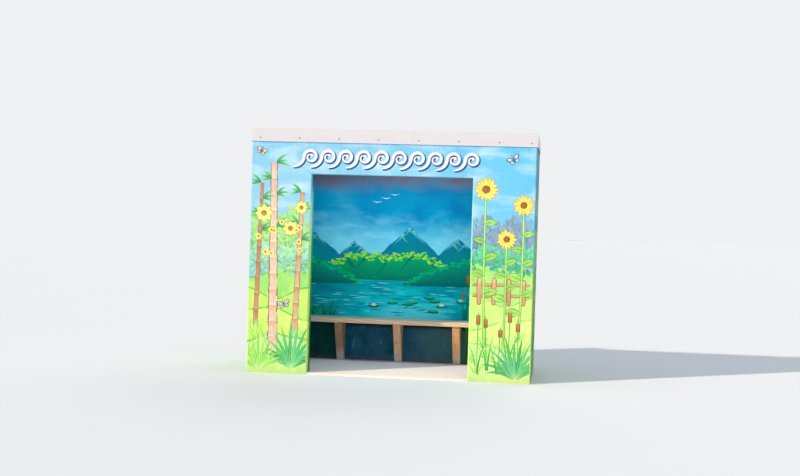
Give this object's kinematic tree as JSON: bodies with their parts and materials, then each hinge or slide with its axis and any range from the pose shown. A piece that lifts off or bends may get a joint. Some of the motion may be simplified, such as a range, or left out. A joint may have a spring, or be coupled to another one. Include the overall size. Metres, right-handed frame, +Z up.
{
  "type": "bus shelter",
  "caption": "Small flat-topped roadside bus shelter with painted masonry walls, a wide open doorway, a folded metal capping and a timber bench along the back wall.",
  "frame": {"origin": "centre of the bounding box in plan, at ground level under the walls", "axes": "+X along the front to the right seen from the road, +Y from the doorway to the back wall, +Z up"},
  "size_m": [2.722, 1.431, 2.3303],
  "materials": {
    "floor_concrete": "trowelled concrete, worn",
    "front_paint": "painted plaster, satin",
    "side_paint": "painted plaster, satin",
    "back_wall_paint": "painted plaster, satin",
    "frame_timber": "sawn softwood, aged",
    "bench_timber": "stained softwood, worn",
    "painted_board": "painted board, matt",
    "roof_steel": "galvanised sheet, weathered",
    "capping_steel": "pre-painted folded sheet"
  },
  "bodies": {
    "root": {"floor_slab": "floor_concrete", "front_left_pier": "front_paint", "front_right_pier": "front_paint", "front_lintel": "front_paint", "left_wall": "side_paint", "right_wall": "side_paint", "back_wall": "back_wall_paint", "front_ledger": "frame_timber", "rear_wall_plate": "frame_timber", "rafter_1": "frame_timber", "rafter_2": "frame_timber", "rafter_3": "frame_timber", "rafter_4": "frame_timber", "rafter_5": "frame_timber", "purlin_1": "frame_timber", "purlin_2": "frame_timber", "purlin_3": "frame_timber", "left_roof_sheet": "roof_steel", "middle_roof_sheet": "roof_steel", "right_roof_sheet": "roof_steel", "front_flashing": "roof_steel", "left_flashing": "roof_steel", "right_flashing": "roof_steel", "rear_board": "painted_board", "front_left_capping": "capping_steel", "front_right_capping": "capping_steel", "left_capping": "capping_steel", "right_capping": "capping_steel", "seat_front_board": "bench_timber", "seat_back_board": "bench_timber", "bench_bracket_1": "bench_timber", "bench_bracket_2": "bench_timber", "bench_bracket_3": "bench_timber", "bench_left_cleat": "bench_timber", "bench_right_cleat": "bench_timber"}
  },
  "joints": []
}
